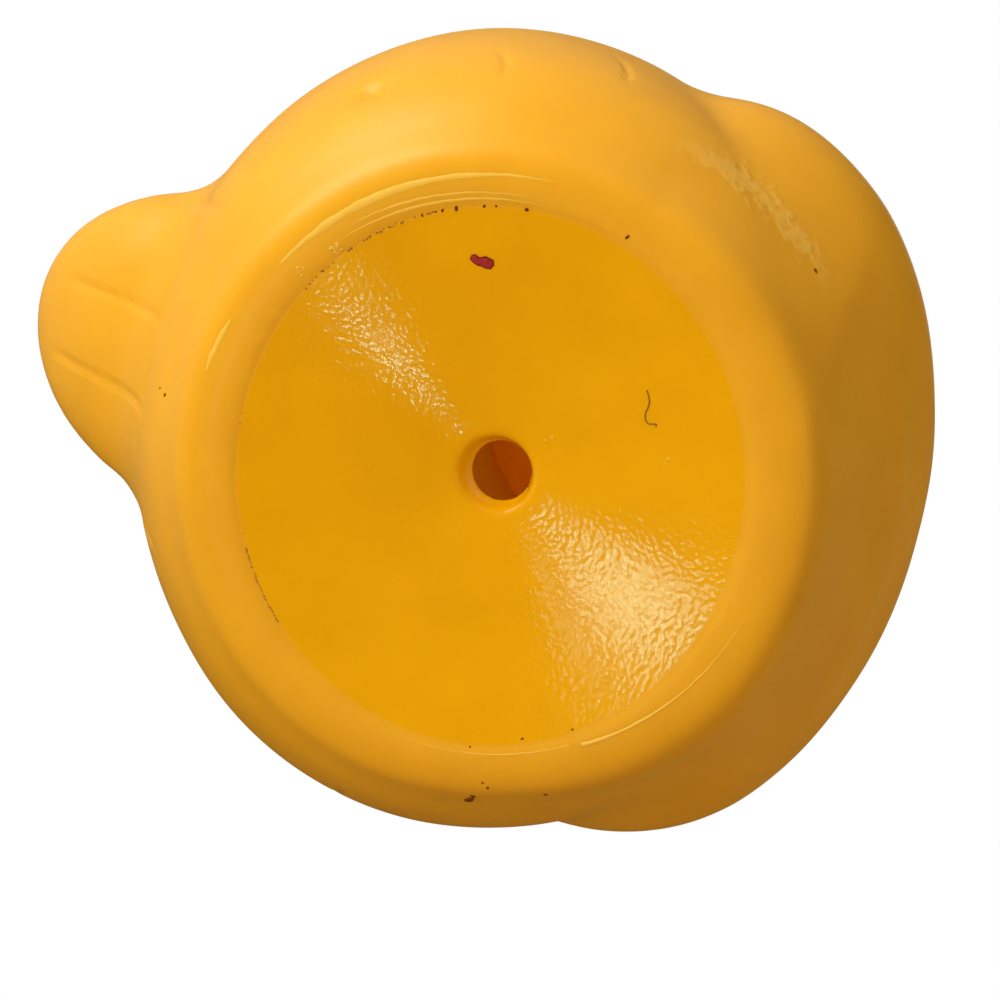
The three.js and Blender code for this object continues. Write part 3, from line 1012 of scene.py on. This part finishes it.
base = Vector((0, AXIS_Y * MM, 0))


def lamp(name, right, up, under, size, watts, colour="#FFFFFF", gloss=True, matt=True):
    """A lamp aimed at the base, by the picture's right and up and by how far it is under the base."""
    data = bpy.data.lights.new(name, "AREA")
    data.shape = "DISK"
    data.size = size
    data.energy = watts
    data.color = linear(colour)[:3]
    lamp_object = bpy.data.objects.new(name, data)
    place = base + picture_right * right + picture_up * up + Vector((0, 0, -under))
    lamp_object.location = place
    lamp_object.rotation_euler = (base - place).to_track_quat("-Z", "Y").to_euler()
    lamp_object.visible_camera = False
    lamp_object.visible_glossy = gloss
    lamp_object.visible_diffuse = matt
    bpy.context.scene.collection.objects.link(lamp_object)
    return lamp_object


lamp("key_under", right=-0.17, up=0.2, under=0.28, size=0.2, watts=0.9, gloss=False)
lamp("window", right=-0.19, up=0.41, under=-0.02, size=0.3, watts=0.93, gloss=False)
lamp("window_sheen", right=-0.35, up=0.48, under=0.06, size=0.4, watts=1.12, matt=False)
lamp("fill_right", right=0.36, up=-0.02, under=0.25, size=0.2, watts=0.17, colour="#FFB070")
lamp("fill_low", right=-0.05, up=-0.38, under=0.12, size=0.2, watts=0.2, colour="#FFA659", gloss=False)

STRIP_UNDER = 0.35
STRIP_TONE = "#BEFFDC"
FAN = {"width": 0.008, "length": 0.035}
STREAK = {"width": 0.006, "length": 0.024}


def strip(name, shape, turn, right, up, watts):
    """A long lamp that only shines in the gloss of the dish, turned that way in the picture."""
    tube = lamp(name, right, up, STRIP_UNDER, shape["width"], watts, STRIP_TONE, matt=False)
    tube.data.shape = "ELLIPSE"
    tube.data.size_y = shape["length"]
    back = (tube.location - base).normalized()
    way = math.cos(math.radians(turn)) * picture_right + math.sin(math.radians(turn)) * picture_up
    along = (way - way.dot(back) * back).normalized()
    tube.rotation_euler = Matrix((along.cross(back), along, back)).transposed().to_euler()


strip("fan_edge", FAN, turn=-28, right=-0.185, up=-0.011, watts=0.007)
strip("fan_upper", FAN, turn=-35, right=-0.176, up=0.001, watts=0.0105)
strip("fan_middle", FAN, turn=-42, right=-0.167, up=0.011, watts=0.0092)
strip("fan_lower", FAN, turn=-50, right=-0.155, up=0.021, watts=0.008)
strip("fan_side", FAN, turn=-62, right=-0.135, up=0.033, watts=0.003)
strip("streak", STREAK, turn=131, right=-0.0205, up=-0.132, watts=0.008)

WALL_GLOW = "#FFCE60"
FACING_UP = (math.pi, 0, 0)
trunk_glow = lamp("through_trunk", right=0, up=0, under=-0.014, size=0.02, watts=0.0014, colour=WALL_GLOW,
                  gloss=False)
head_glow = lamp("through_head", right=0.0034, up=-0.0009, under=-0.036, size=0.012, watts=0.0006,
                 colour=WALL_GLOW, gloss=False)
for glow in (trunk_glow, head_glow):
    glow.rotation_euler = FACING_UP
lamp("through_base", right=0.0015, up=0.001, under=-0.0065, size=0.003, watts=0.00012, gloss=False)

SUN_SOFT = math.radians(50)
SUN_FROM = Vector((0.25, -0.32, 0.91))
SUN_STRENGTH = 1.85
sky_data = bpy.data.lights.new("ceiling", "SUN")
sky_data.energy = SUN_STRENGTH
sky_data.angle = SUN_SOFT
sky = bpy.data.objects.new("ceiling", sky_data)
sky.rotation_euler = SUN_FROM.to_track_quat("Z", "Y").to_euler()
sky.visible_glossy = False
bpy.context.scene.collection.objects.link(sky)

# The room is white to the camera. To the gloss it is white straight overhead, with a soft window to
# the upper left of the picture, and it lights the duck a little more from that side.
WINDOW_TURN = math.radians(30)
OVERHEAD = (0.985, 0.995)
SHEEN = {"facing": (-0.1, 0.8), "height": (-0.7, -0.2), "most": 0.4, "least": 0.02}
ROOM = (0.31, 0.77)
WHITE = linear("#FFFFFF")
window_way = math.cos(WINDOW_TURN) * picture_up - math.sin(WINDOW_TURN) * picture_right
world = bpy.data.worlds.new("studio")
world.use_nodes = True
tree = world.node_tree
tree.nodes.clear()
path = add(tree, "ShaderNodeLightPath")
way = add(tree, "ShaderNodeTexCoord")
height = add(tree, "ShaderNodeSeparateXYZ", {0: way.outputs["Generated"]})
overhead = add(tree, "ShaderNodeMapRange", {
    "Value": height.outputs["Z"], "From Min": OVERHEAD[0], "From Max": OVERHEAD[1]})
mirrored = add(tree, "ShaderNodeMath", {0: path.outputs["Is Glossy Ray"], 1: overhead.outputs[0]},
               operation="MULTIPLY")
passed = add(tree, "ShaderNodeMath", {0: mirrored.outputs[0], 1: path.outputs["Is Transmission Ray"]},
             operation="MAXIMUM")
seen = add(tree, "ShaderNodeMath", {0: path.outputs["Is Camera Ray"], 1: passed.outputs[0]},
           operation="MAXIMUM")
facing = add(tree, "ShaderNodeVectorMath", {0: way.outputs["Generated"], 1: window_way},
             operation="DOT_PRODUCT")
across = add(tree, "ShaderNodeMapRange", {
    "Value": facing.outputs["Value"], "From Min": SHEEN["facing"][0], "From Max": SHEEN["facing"][1]},
    interpolation_type="SMOOTHSTEP")
raised = add(tree, "ShaderNodeMapRange", {
    "Value": height.outputs["Z"], "From Min": SHEEN["height"][0], "From Max": SHEEN["height"][1],
    "To Max": SHEEN["most"]})
sheen = add(tree, "ShaderNodeMath", {0: across.outputs[0], 1: raised.outputs[0], 2: SHEEN["least"]},
            operation="MULTIPLY_ADD")
around = add(tree, "ShaderNodeMapRange", {
    "Value": facing.outputs["Value"], "From Min": -1.0, "From Max": 1.0, "To Min": ROOM[0],
    "To Max": ROOM[1]})
strength = add(tree, "ShaderNodeMix", {
    "Factor": path.outputs["Is Glossy Ray"], "A": around.outputs[0], "B": sheen.outputs[0]})
room = add(tree, "ShaderNodeBackground", {"Color": WHITE, "Strength": strength.outputs[0]})
backdrop = add(tree, "ShaderNodeBackground", {"Color": WHITE, "Strength": 1.0})
studio = add(tree, "ShaderNodeMixShader", {0: seen.outputs[0], 1: room.outputs[0], 2: backdrop.outputs[0]})
add(tree, "ShaderNodeOutputWorld", {"Surface": studio.outputs[0]})
world.cycles.sampling_method = "NONE"
bpy.context.scene.world = world
bpy.context.scene.view_settings.view_transform = "Standard"

# Camera
# It looks up at the base from 220 mm, tilted towards the front and the right side of the duck.

DISTANCE = 0.22
TILT, TILT_WAY = math.radians(16), math.radians(32)
PIXELS_PER_MM = 14.8
PICTURE = 1000
SENSOR = 36.0
CENTRE = (485.5, 480.5)
towards = math.cos(TILT_WAY) * picture_right + math.sin(TILT_WAY) * picture_up
eye_point = base + DISTANCE * (math.sin(TILT) * towards - math.cos(TILT) * Vector((0, 0, 1)))
forward = (base - eye_point).normalized()
right = (picture_right - picture_right.dot(forward) * forward).normalized()
up = right.cross(forward)
camera_data = bpy.data.cameras.new("camera")
camera_data.sensor_width = SENSOR
camera_data.lens = PIXELS_PER_MM * DISTANCE / MM * SENSOR / PICTURE
camera_data.shift_x = (PICTURE / 2 - CENTRE[0]) / PICTURE
camera_data.shift_y = (CENTRE[1] - PICTURE / 2) / PICTURE
camera_data.clip_start = 0.01
camera = bpy.data.objects.new("camera", camera_data)
camera.matrix_world = Matrix((
    (right.x, up.x, -forward.x, eye_point.x),
    (right.y, up.y, -forward.y, eye_point.y),
    (right.z, up.z, -forward.z, eye_point.z),
    (0, 0, 0, 1)))
bpy.context.scene.collection.objects.link(camera)
bpy.context.scene.camera = camera
